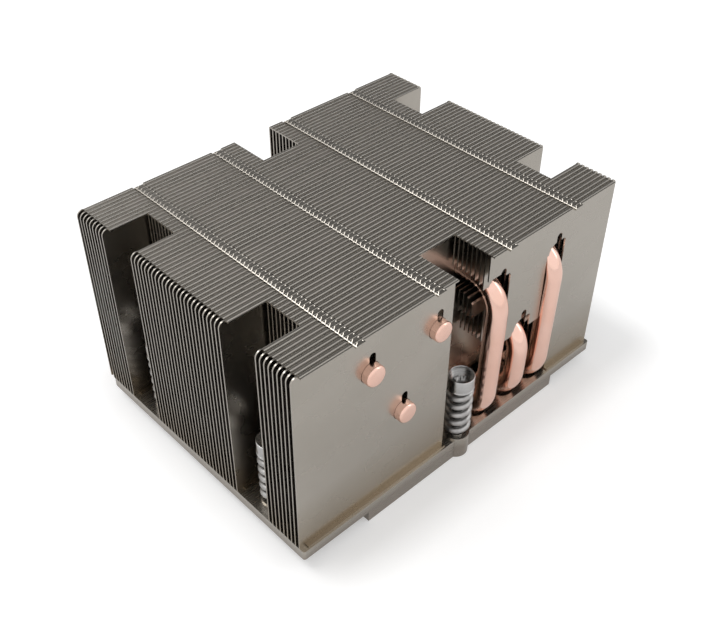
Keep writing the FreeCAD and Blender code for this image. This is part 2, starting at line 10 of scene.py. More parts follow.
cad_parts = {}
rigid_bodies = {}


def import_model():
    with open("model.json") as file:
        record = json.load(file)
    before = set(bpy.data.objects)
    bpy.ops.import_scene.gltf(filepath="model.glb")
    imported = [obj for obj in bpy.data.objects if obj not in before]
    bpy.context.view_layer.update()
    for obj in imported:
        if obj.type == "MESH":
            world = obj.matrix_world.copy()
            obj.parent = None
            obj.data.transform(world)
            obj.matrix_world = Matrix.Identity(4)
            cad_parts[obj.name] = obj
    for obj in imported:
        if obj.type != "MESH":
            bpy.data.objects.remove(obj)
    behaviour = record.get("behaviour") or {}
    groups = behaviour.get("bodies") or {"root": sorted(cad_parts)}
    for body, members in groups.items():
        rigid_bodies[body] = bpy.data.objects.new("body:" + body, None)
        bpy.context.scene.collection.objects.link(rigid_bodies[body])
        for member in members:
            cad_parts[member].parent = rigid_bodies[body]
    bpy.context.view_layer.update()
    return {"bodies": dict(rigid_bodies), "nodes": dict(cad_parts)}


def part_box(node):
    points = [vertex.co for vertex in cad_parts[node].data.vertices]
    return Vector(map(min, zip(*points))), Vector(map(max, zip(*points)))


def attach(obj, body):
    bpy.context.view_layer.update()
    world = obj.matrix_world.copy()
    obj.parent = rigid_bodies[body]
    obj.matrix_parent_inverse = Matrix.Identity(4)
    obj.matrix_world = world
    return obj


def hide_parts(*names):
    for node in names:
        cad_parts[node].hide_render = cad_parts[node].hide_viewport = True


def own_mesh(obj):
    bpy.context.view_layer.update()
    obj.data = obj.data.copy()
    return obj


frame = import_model()

bl_info = {
    "name": "Passive server heatsink",
    "version": (1, 0, 0),
    "blender": (4, 5, 0),
    "location": "View3D > Sidebar > Heatsink",
    "description": "Fins, base, heat pipes and captive screws of a passive server heatsink",
    "category": "Object",
}

NODES = frame["nodes"]
FIN_NODES = [name for name in NODES if name.startswith(("fins_", "center_fin_"))]
PIPE_NODES = [name for name in NODES if name.startswith("heat_pipe_")]
SCREW_BODY = "captive_screw_"
SCREW_PLACES = [name[len(SCREW_BODY):] for name in frame["bodies"] if name.startswith(SCREW_BODY)]
SHARP_ANGLE = math.radians(32)
SAME_PLACE = 1e-7
SENSOR_WIDTH = 36
NEAREST_SEEN = 0.01

# What a noise runs between, and the height of the relief made from one
NOISE_LOW, NOISE_HIGH = 0.35, 0.65
COPPER_LOW, COPPER_HIGH = 0.3, 0.6
RELIEF = 1e-6

# Grains a metre along each axis of a noise, and its detail
SHEET_PATCHES = ((40, 300, 60), 4)
MILLING_LINES = ((50, 6000, 6000), 3)
COPPER_CLOUDS = ((120, 120, 120), 5)
COPPER_SCRATCHES = ((2500, 2500, 500), 3)
LATHE_RINGS = ((0, 0, 9000), 3)
STEEL_CLOUDS = ((400, 400, 400), 4)
WIRE_CLOUDS = ((700, 700, 700), 4)
CLIP_CLOUDS = ((900, 900, 900), 4)

# How much rougher a finish is than its roughness where its noise is low and where it is high
SHEET_SPREAD = (-0.01, 0.02)
MILLED_SPREAD = (-0.03, 0.06)
COPPER_SPREAD = (0.05, -0.02)
LATHE_SPREAD = (-0.05, 0.08)
WIRE_SPREAD = (0.08, -0.02)

# Shares of a colour's brightness
DULL_STEEL = 0.85
DULL_WIRE = 0.8
DARK_CLIP = 0.7
DULL_CLIP = 0.8


# Sizes and colours

class HeatsinkFinLooks(PropertyGroup):
    """Finish of the sheet fins, with a painted shade near the base."""

    color: FloatVectorProperty(
        name="Plating", description="Colour of the plated sheet", subtype="COLOR",
        size=3, min=0, max=1, default=(0.47, 0.437, 0.390))
    dull_color: FloatVectorProperty(
        name="Dull plating", description="Colour of the sheet where the plating is duller",
        subtype="COLOR", size=3, min=0, max=1, default=(0.44, 0.408, 0.362))
    # Painted shade: near the base the sheets' colour is multiplied darker and browner.
    painted_low_shade: FloatVectorProperty(
        name="Painted low shade", description="What the colour is multiplied by near the base",
        subtype="COLOR", size=3, min=0, max=1, default=(0.78, 0.72, 0.64))
    low_shade_heights: FloatVectorProperty(
        name="Low shade heights", description="Heights between which that tint fades out", size=2,
        precision=4, default=(0.008, 0.024))
    roughness: FloatProperty(
        name="Roughness", description="How satin the sheets are", subtype="FACTOR",
        min=0, max=1, default=0.27)
    pitch: FloatProperty(
        name="Pitch", description="Distance from one sheet to the next", unit="LENGTH",
        default=0.0015)
    fold_height: FloatProperty(
        name="Fold height", description="Height above which a sheet belongs to its top fold",
        unit="LENGTH", default=0.0657)
    fold_start: FloatProperty(
        name="Fold start", description="Share of the pitch after which a top turns down",
        subtype="FACTOR", min=0, max=1, default=0.80)
    fold_blend: FloatProperty(
        name="Fold blend", description="Share of the pitch in which the turn begins",
        subtype="FACTOR", min=0, max=1, default=0.08)
    fold_tilt: FloatProperty(
        name="Fold tilt", description="How far the tops turn down there", min=0, default=0.34)
    zip_start: FloatProperty(
        name="Zip start", description="Front side of the first row of tabs", unit="LENGTH",
        default=-0.0414)
    zip_spacing: FloatProperty(
        name="Zip spacing", description="Distance from one row of tabs to the next",
        unit="LENGTH", default=0.0266)
    zip_line: FloatProperty(
        name="Zip line", description="Width of the rounded front side of the tabs",
        unit="LENGTH", default=0.0003)
    hook_length: FloatProperty(
        name="Hook length", description="Length of the rounded side of a tab", unit="LENGTH",
        default=0.0013)
    hook_shares: FloatVectorProperty(
        name="Hook shares", description="Shares of the pitch between which that side runs",
        size=2, default=(0.1, 0.7))
    hook_half: FloatProperty(
        name="Hook half width", description="Half its width, as a share of the pitch",
        subtype="FACTOR", min=0, max=1, default=0.07)
    zip_length: FloatProperty(
        name="Zip length", description="Distance from a tab's front side to its rear corner",
        unit="LENGTH", default=0.0027)
    corner_share: FloatProperty(
        name="Corner share", description="Share of the pitch at which that corner lies",
        subtype="FACTOR", min=0, max=1, default=0.5)
    corner_half: FloatProperty(
        name="Corner half width", description="Half its width, as a share of the pitch",
        subtype="FACTOR", min=0, max=1, default=0.09)
    zip_tilt: FloatProperty(
        name="Zip tilt", description="How far the tabs turn down on those lines", min=0,
        default=0.6)


class HeatsinkBaseLooks(PropertyGroup):
    """Finish of the machined base, with a painted shade near the ground."""

    color: FloatVectorProperty(
        name="Plating", description="Colour of the plated base", subtype="COLOR",
        size=3, min=0, max=1, default=(0.50, 0.47, 0.42))
    # Painted shade: near the ground the base fades to this darker, warmer colour.
    low_color: FloatVectorProperty(
        name="Painted ground shade", description="Colour of the base near the ground", subtype="COLOR",
        size=3, min=0, max=1, default=(0.32, 0.285, 0.25))
    ground_shade_heights: FloatVectorProperty(
        name="Colour heights", description="Heights between which one colour fades to the other",
        size=2, precision=4, default=(0.004, 0.007))
    roughness: FloatProperty(
        name="Roughness", description="How satin the milled faces are", subtype="FACTOR",
        min=0, max=1, default=0.26)


class HeatsinkPipeSizes(PropertyGroup):
    """Sizes and finish of the six heat pipes."""

    radius: FloatProperty(
        name="Radius", description="Outer radius of a pipe", unit="LENGTH", default=0.003)
    bend_radius: FloatProperty(
        name="Bend radius", description="Radius of the middle line of a bend", unit="LENGTH",
        default=0.009)
    tail_side: FloatProperty(
        name="Tail distance", description="Distance of the lower end from the middle of the pack",
        unit="LENGTH", default=0.0305)
    end_round: FloatProperty(
        name="End rounding", description="Rounding of the visible end", unit="LENGTH",
        default=0.0008)
    tail_round: FloatProperty(
        name="Tail rounding", description="Rounding of the end in the base", unit="LENGTH",
        default=0.0024)
    end_dome: FloatProperty(
        name="End dome", description="Rise of the middle of an end", unit="LENGTH",
        default=0.0001)
    around: IntProperty(
        name="Sides", description="Faces around a pipe", min=12, default=48)
    bend_steps: IntProperty(
        name="Bend steps", description="Faces along a bend", min=4, default=32)
    color: FloatVectorProperty(
        name="Copper", description="Colour of the bright copper", subtype="COLOR",
        size=3, min=0, max=1, default=(0.97, 0.65, 0.545))
    dull_color: FloatVectorProperty(
        name="Dull copper", description="Colour of the copper where it is slightly dull",
        subtype="COLOR", size=3, min=0, max=1, default=(0.93, 0.60, 0.49))
    roughness: FloatProperty(
        name="Roughness", description="How satin the copper is", subtype="FACTOR",
        min=0, max=1, default=0.16)


class HeatsinkScrewSizes(PropertyGroup):
    """Sizes and finish of the captive screws."""

    shank_radius: FloatProperty(
        name="Shank radius", description="Radius of the shank and of the thread's crests",
        unit="LENGTH", default=0.00175)
    core_radius: FloatProperty(
        name="Core radius", description="Radius at the thread's roots", unit="LENGTH",
        default=0.00148)
    thread_pitch: FloatProperty(
        name="Thread pitch", description="Rise of the thread in a turn", unit="LENGTH",
        default=0.0006)
    thread_half: FloatProperty(
        name="Thread half", description="Half the ridge's height, as a share of the pitch",
        subtype="FACTOR", min=0, max=0.5, default=0.45)
    thread_root: FloatProperty(
        name="Thread root", description="Where the ridge starts, as a share of the core radius",
        subtype="FACTOR", min=0, max=1, default=0.95)
    tip_chamfer: FloatProperty(
        name="Tip chamfer", description="Chamfer of the screw's tip", unit="LENGTH",
        default=0.0004)
    neck_radius: FloatProperty(
        name="Neck radius", description="Radius of the neck that holds the clip", unit="LENGTH",
        default=0.0014)
    neck_play: FloatProperty(
        name="Neck play", description="Play of the clip in the neck", unit="LENGTH",
        default=0.00005)
    spigot_radius: FloatProperty(
        name="Spigot radius", description="Radius of the step that centres the spring",
        unit="LENGTH", default=0.00177)
    spigot_height: FloatProperty(
        name="Spigot height", description="Height of that step", unit="LENGTH", default=0.0012)
    collar_radius: FloatProperty(
        name="Collar radius", description="Radius of the collar on the spring", unit="LENGTH",
        default=0.00382)
    collar_height: FloatProperty(
        name="Collar height", description="Height of the collar", unit="LENGTH", default=0.0006)
    head_radius: FloatProperty(
        name="Head radius", description="Outer radius of the cup", unit="LENGTH",
        default=0.00372)
    head_height: FloatProperty(
        name="Head height", description="Height from the spring to the rim", unit="LENGTH",
        default=0.0045)
    cup_radius: FloatProperty(
        name="Cup radius", description="Inner radius of the cup", unit="LENGTH", default=0.0033)
    cup_depth: FloatProperty(
        name="Cup depth", description="Depth of the cup", unit="LENGTH", default=0.0019)
    drive_radius: FloatProperty(
        name="Drive radius", description="Radius of the drive between its lobes", unit="LENGTH",
        default=0.00145)
    lobe_radius: FloatProperty(
        name="Lobe radius", description="Radius of a lobe of the drive", unit="LENGTH",
        default=0.00045)
    drive_depth: FloatProperty(
        name="Drive depth", description="Depth of the drive", unit="LENGTH", default=0.0009)
    edge_round: FloatProperty(
        name="Edge rounding", description="Rounding of the head's turned edges", unit="LENGTH",
        default=0.0002)
    around: IntProperty(
        name="Sides", description="Faces around a screw", min=24, default=72)
    color: FloatVectorProperty(
        name="Steel", description="Colour of the turned steel", subtype="COLOR",
        size=3, min=0, max=1, default=(0.56, 0.555, 0.55))
    roughness: FloatProperty(
        name="Roughness", description="How satin the turned steel is", subtype="FACTOR",
        min=0, max=1, default=0.22)


class HeatsinkSpringSizes(PropertyGroup):
    """Sizes and finish of the six springs."""

    wire_radius: FloatProperty(
        name="Wire radius", description="Radius of the spring's wire", unit="LENGTH",
        default=0.0009)
    mean_radius: FloatProperty(
        name="Mean radius", description="Radius of the wire's middle line", unit="LENGTH",
        default=0.00287)
    turns: FloatProperty(
        name="Turns", description="Number of turns", min=1, default=5.0)
    seat: FloatProperty(
        name="Seat gap", description="Gap between the spring and its boss", unit="LENGTH",
        default=0.00005)
    wire_sides: IntProperty(
        name="Wire sides", description="Faces around the wire", min=6, default=18)
    turn_steps: IntProperty(
        name="Turn steps", description="Faces along a turn", min=12, default=40)
    color: FloatVectorProperty(
        name="Wire", description="Colour of the spring wire", subtype="COLOR",
        size=3, min=0, max=1, default=(0.50, 0.49, 0.48))
    roughness: FloatProperty(
        name="Roughness", description="How satin the wire is", subtype="FACTOR",
        min=0, max=1, default=0.44)


class HeatsinkStageSettings(PropertyGroup):
    """Camera, floor and studio light."""

    camera_place: FloatVectorProperty(
        name="Camera", description="Place of the camera", subtype="TRANSLATION", size=3,
        precision=4, default=(-0.1532, -0.1639, 0.2142))
    camera_direction: FloatVectorProperty(
        name="Direction", description="Direction of the camera's view", subtype="DIRECTION",
        size=3, precision=5, default=(0.52118, 0.55610, -0.64740))
    camera_up: FloatVectorProperty(
        name="Up", description="Direction of the picture's upper edge", subtype="DIRECTION",
        size=3, precision=5, default=(0.44122, 0.47377, 0.76215))
    lens: FloatProperty(
        name="Lens", description="Focal length in millimetres on a 36 mm sensor", default=50.19)
    floor_size: FloatProperty(
        name="Floor", description="Side of the floor", unit="LENGTH", default=6.0)
    floor_color: FloatVectorProperty(
        name="Floor colour", description="Colour of the pale floor", subtype="COLOR",
        size=3, min=0, max=1, default=(0.80, 0.80, 0.80))
    floor_roughness: FloatProperty(
        name="Floor roughness", description="How matt the floor is", subtype="FACTOR",
        min=0, max=1, default=0.9)
    floor_glow: FloatProperty(
        name="Floor white", description="White that the floor adds to what is seen of it",
        min=0, default=0.53)
    # Painted shadow: the floor adds less white close to the heatsink.
    shade_glow: FloatProperty(
        name="Shade glow", description="The same white close to the heatsink", min=0,
        default=0.34)
    shade_middle: FloatVectorProperty(
        name="Shade middle", description="Middle of the shaded part of the floor", size=2,
        precision=3, default=(0.010, 0.0))
    shade_half: FloatVectorProperty(
        name="Shade half sizes", description="Half the length and width of that part", size=2,
        precision=3, default=(0.062, 0.046))
    shade_fade: FloatVectorProperty(
        name="Shade fade", description="Distances from that part between which the shade ends",
        size=2, precision=3, default=(0.005, 0.017))
    floor_mirrored: FloatProperty(
        name="Mirrored floor", description="White that the floor adds to its mirror image",
        min=0, default=0.19)
    lamp_target: FloatVectorProperty(
        name="Lamp target", description="Point that both lamps face", subtype="TRANSLATION",
        size=3, precision=3, default=(0, 0, 0.03))
    key_place: FloatVectorProperty(
        name="Key place", description="Place of the large lamp at the left",
        subtype="TRANSLATION", size=3, default=(-0.45, 0.50, 1.10))
    key_size: FloatVectorProperty(
        name="Key size", description="Width and height of that lamp", size=2,
        default=(0.7, 0.7))
    key_power: FloatProperty(
        name="Key power", description="Power of that lamp", unit="POWER", default=5.0)
    fill_place: FloatVectorProperty(
        name="Fill place", description="Place of the narrow lamp at the right",
        subtype="TRANSLATION", size=3, default=(0.7, -0.7, 0.7))
    fill_size: FloatVectorProperty(
        name="Fill size", description="Width and height of that lamp", size=2,
        default=(0.25, 0.8))
    fill_power: FloatProperty(
        name="Fill power", description="Power of that lamp", unit="POWER", default=1.0)
    sky: FloatProperty(
        name="Sky", description="Light from all round", min=0, default=0.55)
    dim_direction: FloatVectorProperty(
        name="Dim side", description="Direction of the dim part of the mirrored sky",
        subtype="DIRECTION", size=3, precision=3, default=(0.60, 0.475, 0.647))
    dim_sky: FloatProperty(
        name="Dim sky", description="White in the middle of that part", min=0, default=0.155)
    half_dim: FloatProperty(
        name="Half dim", description="How many times as white that part is near its edge",
        min=1, default=1.4)
    dim_edges: FloatVectorProperty(
        name="Dim edges", description="Cosines of the angles to the dim side: edge, near, middle",
        size=3, precision=3, default=(0.84, 0.93, 0.965))


# Materials

def new_material(name, color, roughness, metallic=1.0):
    """A material, its node tree and its shader, with the values that are the same all over."""
    material = bpy.data.materials.new(name)
    material.use_nodes = True
    shader = material.node_tree.nodes["Principled BSDF"]
    shader.inputs["Base Color"].default_value = (*color, 1)
    shader.inputs["Roughness"].default_value = roughness
    shader.inputs["Metallic"].default_value = metallic
    return material, material.node_tree, shader


def object_axes(tree):
    """The three object coordinates of a point."""
    place = tree.nodes.new("ShaderNodeTexCoord")
    axes = tree.nodes.new("ShaderNodeSeparateXYZ")
    tree.links.new(place.outputs["Object"], axes.inputs["Vector"])
    return axes.outputs


def noise(tree, scale, detail):
    """Noise on object coordinates, with its own number of grains a metre along each axis."""
    place = tree.nodes.new("ShaderNodeTexCoord")
    mapping = tree.nodes.new("ShaderNodeMapping")
    mapping.inputs["Scale"].default_value = scale
    made = tree.nodes.new("ShaderNodeTexNoise")
    made.inputs["Scale"].default_value = 1.0
    made.inputs["Detail"].default_value = detail
    tree.links.new(place.outputs["Object"], mapping.inputs["Vector"])
    tree.links.new(mapping.outputs["Vector"], made.inputs["Vector"])
    return made.outputs["Fac"]


def between(tree, factor, low, high, start=NOISE_LOW, stop=NOISE_HIGH):
    """A number that goes from low to high as the factor goes from start to stop."""
    made = tree.nodes.new("ShaderNodeMapRange")
    made.inputs["From Min"].default_value = start
    made.inputs["From Max"].default_value = stop
    made.inputs["To Min"].default_value = low
    made.inputs["To Max"].default_value = high
    tree.links.new(factor, made.inputs["Value"])
    return made.outputs["Result"]


def ramp(tree, factor, first, last, start=NOISE_LOW, stop=NOISE_HIGH):
    """A colour that goes from the first to the last as the factor goes from start to stop."""
    made = tree.nodes.new("ShaderNodeValToRGB")
    made.color_ramp.elements[0].position = start
    made.color_ramp.elements[0].color = (*first, 1)
    made.color_ramp.elements[1].position = stop
    made.color_ramp.elements[1].color = (*last, 1)
    tree.links.new(factor, made.inputs["Fac"])
    return made.outputs["Color"]


def darker(color, share):
    """A colour at a share of its brightness."""
    return [share * value for value in color]


def spread_roughness(tree, shader, factor, looks, spread):
    """Let the roughness of a finish differ with a noise."""
    low, high = [looks.roughness + offset for offset in spread]
    tree.links.new(between(tree, factor, low, high), shader.inputs["Roughness"])


def bump(tree, shader, height):
    """Fine relief from a noise."""
    made = tree.nodes.new("ShaderNodeBump")
    made.inputs["Distance"].default_value = RELIEF
    made.inputs["Strength"].default_value = 1.0
    tree.links.new(height, made.inputs["Height"])
    tree.links.new(made.outputs["Normal"], shader.inputs["Normal"])


def calculate(tree, operation, *terms):
    """The result of a sum on numbers, each a socket or a plain value."""
    made = tree.nodes.new("ShaderNodeMath")
    made.operation = operation
    for socket, term in zip(made.inputs, terms):
        if isinstance(term, bpy.types.NodeSocket):
            tree.links.new(term, socket)
        else:
            socket.default_value = term
    return made.outputs[0]


def tab_lines(tree, x, share, looks):
    """Where the rounded front sides, hooks and rear corners of the tabs are: 1 there, else 0."""
    along = calculate(tree, "WRAP", calculate(tree, "SUBTRACT", x, looks.zip_start),
                      looks.zip_spacing, 0.0)
    front = calculate(tree, "LESS_THAN", along, looks.zip_line)
    first, last = looks.hook_shares
    curve = calculate(tree, "MULTIPLY_ADD", along, (last - first) / looks.hook_length, first)
    hook = calculate(tree, "MULTIPLY", calculate(tree, "COMPARE", share, curve, looks.hook_half),
                     calculate(tree, "LESS_THAN", along, looks.hook_length))
    rear = calculate(tree, "MULTIPLY",
                     calculate(tree, "COMPARE", share, looks.corner_share, looks.corner_half),
                     calculate(tree, "COMPARE", along, looks.zip_length, looks.zip_line / 2))
    return calculate(tree, "MAXIMUM", front, calculate(tree, "MAXIMUM", hook, rear))


def rounded_folds(tree, shader, looks, start):
    """Turn the tops down to +Y at each fold and to -X on the lines of the tabs."""
    axes = object_axes(tree)
    steps = calculate(tree, "MULTIPLY_ADD", axes["Y"], 1 / looks.pitch, -start / looks.pitch)
    share = calculate(tree, "FRACT", steps)
    on_top = calculate(tree, "GREATER_THAN", axes["Z"], looks.fold_height)
    line = tab_lines(tree, axes["X"], share, looks)
    fold = between(tree, share, 0, looks.fold_tilt, looks.fold_start - looks.fold_blend,
                   looks.fold_start)
    fold = calculate(tree, "MULTIPLY", calculate(tree, "MULTIPLY", on_top, fold),
                     calculate(tree, "SUBTRACT", 1.0, line))
    tab = calculate(tree, "MULTIPLY", calculate(tree, "MULTIPLY", on_top, line),
                    -looks.zip_tilt)
    lean = tree.nodes.new("ShaderNodeCombineXYZ")
    tree.links.new(tab, lean.inputs["X"])
    tree.links.new(fold, lean.inputs["Y"])
    surface = tree.nodes.new("ShaderNodeNewGeometry")
    leaned = tree.nodes.new("ShaderNodeVectorMath")
    leaned.operation = "ADD"
    tree.links.new(surface.outputs["Normal"], leaned.inputs[0])
    tree.links.new(lean.outputs["Vector"], leaned.inputs[1])
    normal = tree.nodes.new("ShaderNodeVectorMath")
    normal.operation = "NORMALIZE"
    tree.links.new(leaned.outputs["Vector"], normal.inputs[0])
    tree.links.new(normal.outputs["Vector"], shader.inputs["Normal"])


def rolled_sheet(looks):
    """Plated sheet with faint duller patches, a painted darker and browner shade on its lower
    part, and rounded top folds.
    """
    material, tree, shader = new_material("rolled_sheet", looks.color, looks.roughness)
    patches = noise(tree, *SHEET_PATCHES)
    # Painted shade: the colour is multiplied darker and browner towards the base.
    tint = tree.nodes.new("ShaderNodeMix")
    tint.data_type = "RGBA"
    tint.blend_type = "MULTIPLY"
    tint.inputs["B"].default_value = (*looks.painted_low_shade, 1)
    tree.links.new(between(tree, object_axes(tree)["Z"], 1, 0, *looks.low_shade_heights),
                   tint.inputs["Factor"])
    tree.links.new(ramp(tree, patches, looks.dull_color, looks.color), tint.inputs["A"])
    tree.links.new(tint.outputs["Result"], shader.inputs["Base Color"])
    spread_roughness(tree, shader, patches, looks, SHEET_SPREAD)
    rounded_folds(tree, shader, looks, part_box("fins_near_front")[0].y)
    return material


def milled_base(looks):
    """Plated base with a painted shade that darkens it near the ground, and fine milling lines
    along X.
    """
    material, tree, shader = new_material("milled_base", looks.color, looks.roughness)
    lines = noise(tree, *MILLING_LINES)
    # Painted shade: the colour fades darker towards the ground.
    tree.links.new(ramp(tree, object_axes(tree)["Z"], looks.low_color, looks.color,
                        *looks.ground_shade_heights), shader.inputs["Base Color"])
    spread_roughness(tree, shader, lines, looks, MILLED_SPREAD)
    bump(tree, shader, lines)
    return material


def drawn_copper(looks):
    """Bright copper with soft duller clouds and fine scratches."""
    material, tree, shader = new_material("drawn_copper", looks.color, looks.roughness)
    clouds = noise(tree, *COPPER_CLOUDS)
    tree.links.new(ramp(tree, clouds, looks.dull_color, looks.color, COPPER_LOW, COPPER_HIGH),
                   shader.inputs["Base Color"])
    spread_roughness(tree, shader, clouds, looks, COPPER_SPREAD)
    bump(tree, shader, noise(tree, *COPPER_SCRATCHES))
    return material


def turned_steel(looks):
    """Steel with the fine rings that a lathe leaves."""
    material, tree, shader = new_material("turned_steel", looks.color, looks.roughness)
    rings = noise(tree, *LATHE_RINGS)
    clouds = noise(tree, *STEEL_CLOUDS)
    tree.links.new(ramp(tree, clouds, darker(looks.color, DULL_STEEL), looks.color),
                   shader.inputs["Base Color"])
    spread_roughness(tree, shader, rings, looks, LATHE_SPREAD)
    bump(tree, shader, rings)
    return material


def spring_wire(looks):
    """Drawn wire, bright with slightly darker stretches."""
    material, tree, shader = new_material("spring_wire", looks.color, looks.roughness)
    clouds = noise(tree, *WIRE_CLOUDS)
    tree.links.new(ramp(tree, clouds, darker(looks.color, DULL_WIRE), looks.color),
                   shader.inputs["Base Color"])
    spread_roughness(tree, shader, clouds, looks, WIRE_SPREAD)
    return material


def stamped_clip(looks):
    """Darker spring steel of the retaining clips."""
    dark = darker(looks.color, DARK_CLIP)
    material, tree, shader = new_material("stamped_clip", dark, looks.roughness)
    clouds = noise(tree, *CLIP_CLOUDS)
    tree.links.new(ramp(tree, clouds, darker(dark, DULL_CLIP), dark),
                   shader.inputs["Base Color"])
    return material


def paint(node, material):
    """Give a CAD node a material in all its slots."""
    slots = NODES[node].data.materials
    if not slots:
        slots.append(material)
    for number in range(len(slots)):
        slots[number] = material


# Pieces

def piece(bm, name, material, body, slot, *nodes):
    """Close a bmesh into a piece that stands for CAD nodes and moves with a body."""
    bmesh.ops.remove_doubles(bm, verts=bm.verts, dist=SAME_PLACE)
    bmesh.ops.recalc_face_normals(bm, faces=bm.faces)
    mesh = bpy.data.meshes.new(name)
    bm.to_mesh(mesh)
    bm.free()
    mesh.shade_smooth()
    mesh.set_sharp_from_angle(angle=SHARP_ANGLE)
    mesh.materials.append(material)
    made = bpy.data.objects.new(name, mesh)
    bpy.context.scene.collection.objects.link(made)
    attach(made, body)
    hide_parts(*nodes)
    return made


def ring_of(geometry):
    """The corners of a result, and its edges that join two of them."""
    verts = [item for item in geometry if isinstance(item, bmesh.types.BMVert)]
    edges = [item for item in geometry
             if isinstance(item, bmesh.types.BMEdge) and all(v in verts for v in item.verts)]
    return verts, edges


def straight(bm, edges, offset):
    """Lengthen a tube from its open end."""
    verts, edges = ring_of(bmesh.ops.extrude_edge_only(bm, edges=edges)["geom"])
    bmesh.ops.translate(bm, verts=verts, vec=offset)
    return edges


def bent(bm, edges, center, angle, steps):
    """Lengthen a tube from its open end by a bend about an axis along X."""
    verts = list({vert for edge in edges for vert in edge.verts})
    made = bmesh.ops.spin(bm, geom=verts + edges, cent=center, axis=(1, 0, 0), angle=angle,
                          steps=steps, use_merge=False)
    return ring_of(made["geom_last"])[1]


def closed_end(bm, edges, rounding, dome):
    """Close a tube's open end with a rounded rim and a slightly raised middle."""
    cap = bmesh.ops.edgeloop_fill(bm, edges=edges)["faces"][0]
    bmesh.ops.recalc_face_normals(bm, faces=bm.faces)
    bmesh.ops.bevel(bm, geom=list(cap.edges), affect="EDGES", offset=rounding,
                    offset_type="OFFSET", segments=6, profile=0.5, material=-1)
    middle = max(bm.faces, key=lambda face: len(face.verts))
    bmesh.ops.poke(bm, faces=[middle], offset=dome)


def heat_pipe(node, sizes, material):
    """One bent pipe: a leg in the base, a riser beside the pack and a leg through the fins."""
    low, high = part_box(node)
    rear = "_rear_" in node
    radius = sizes.radius
    bend = sizes.bend_radius
    side = -low.y - radius if rear else high.y - radius
    end = high.y if rear else -low.y
    upper_x = high.x - radius if rear else -low.x - radius
    lower_x = low.x + radius if rear else -high.x + radius
    rise = high.z - low.z - 2 * radius
    lean = math.atan2(upper_x - lower_x, rise)
    drop = math.hypot(upper_x - lower_x, rise)

    bm = bmesh.new()
    start = Matrix.Translation((0, -sizes.tail_side, -drop))
    upright = Matrix.Rotation(math.pi / 2, 4, "X")
    bmesh.ops.create_circle(bm, segments=sizes.around, radius=radius, cap_ends=False,
                            matrix=start @ upright)
    ring = straight(bm, list(bm.edges), (0, sizes.tail_side + bend - side, 0))
    ring = bent(bm, ring, (0, bend - side, bend - drop), -math.pi / 2, sizes.bend_steps)
    ring = straight(bm, ring, (0, 0, drop - 2 * bend))
    ring = bent(bm, ring, (0, bend - side, -bend), -math.pi / 2, sizes.bend_steps)
    ring = straight(bm, ring, (0, end + side - bend, 0))
    closed_end(bm, ring, sizes.end_round, sizes.end_dome)
    tail = [edge for edge in bm.edges if edge.is_boundary]
    closed_end(bm, tail, sizes.tail_round, sizes.end_dome)

    turn = Matrix.Identity(4) if rear else Matrix.Rotation(math.pi, 4, "Z")
    place = Matrix.Translation((upper_x, 0, high.z - radius))
    bmesh.ops.transform(bm, matrix=turn @ place @ Matrix.Rotation(lean, 4, "Y"), verts=bm.verts)
    piece(bm, node + "_tube", material, "root", "pipe", node)


def drive_reach(angle, sizes):
    """Distance from the axis to the wall of the six-lobe drive in a direction."""
    off = (angle + math.pi / 6) % (math.pi / 3) - math.pi / 6
    across = sizes.drive_radius * math.sin(off)
    if abs(across) >= sizes.lobe_radius:
        return sizes.drive_radius
    return sizes.drive_radius * math.cos(off) + math.sqrt(sizes.lobe_radius ** 2 - across ** 2)


def screw_outline(sizes, tip, top, clip_bottom, clip_top):
    """Half section of a screw, as distance from the axis and height, from the tip to the drive."""
    seat = top - sizes.head_height
    floor = top - sizes.cup_depth
    neck_bottom = clip_bottom - sizes.neck_play
    neck_top = clip_top + sizes.neck_play
    return (
        (0, tip),
        (sizes.core_radius - sizes.tip_chamfer, tip),
        (sizes.core_radius, tip + sizes.tip_chamfer),
        (sizes.core_radius, neck_bottom),
        (sizes.neck_radius, neck_bottom),
        (sizes.neck_radius, neck_top),
        (sizes.shank_radius, neck_top),
        (sizes.shank_radius, seat - sizes.spigot_height),
        (sizes.spigot_radius, seat - sizes.spigot_height),
        (sizes.spigot_radius, seat),
        (sizes.collar_radius, seat),
        (sizes.collar_radius, seat + sizes.collar_height),
        (sizes.head_radius, seat + sizes.collar_height),
        (sizes.head_radius, top),
        (sizes.cup_radius, top),
        (sizes.cup_radius, floor),
        (sizes.drive_radius, floor),
        (sizes.drive_radius, floor - sizes.drive_depth),
        (0, floor - sizes.drive_depth),
    )


def add_thread(bm, sizes, bottom, top):
    """A helical ridge on the screw's core, from one height to another."""
    half = sizes.thread_half * sizes.thread_pitch
    turns = (top - bottom - 2 * half) / sizes.thread_pitch
    steps = round(turns * sizes.around / 2)
    inside = sizes.thread_root * sizes.core_radius
    corners = [bm.verts.new(point) for point in (
        (inside, 0, bottom),
        (sizes.shank_radius, 0, bottom + half),
        (inside, 0, bottom + 2 * half),
    )]
    start = bm.faces.new(corners)
    bmesh.ops.spin(bm, geom=[start, *start.edges, *corners], cent=(0, 0, 0), axis=(0, 0, 1),
                   dvec=(0, 0, turns * sizes.thread_pitch / steps),
                   angle=turns * 2 * math.pi, steps=steps, use_merge=False)


def at(vert, reach, height):
    """Whether a corner has this distance from the axis and this height."""
    return (abs(vert.co.xy.length - reach) < SAME_PLACE
            and abs(vert.co.z - height) < SAME_PLACE)


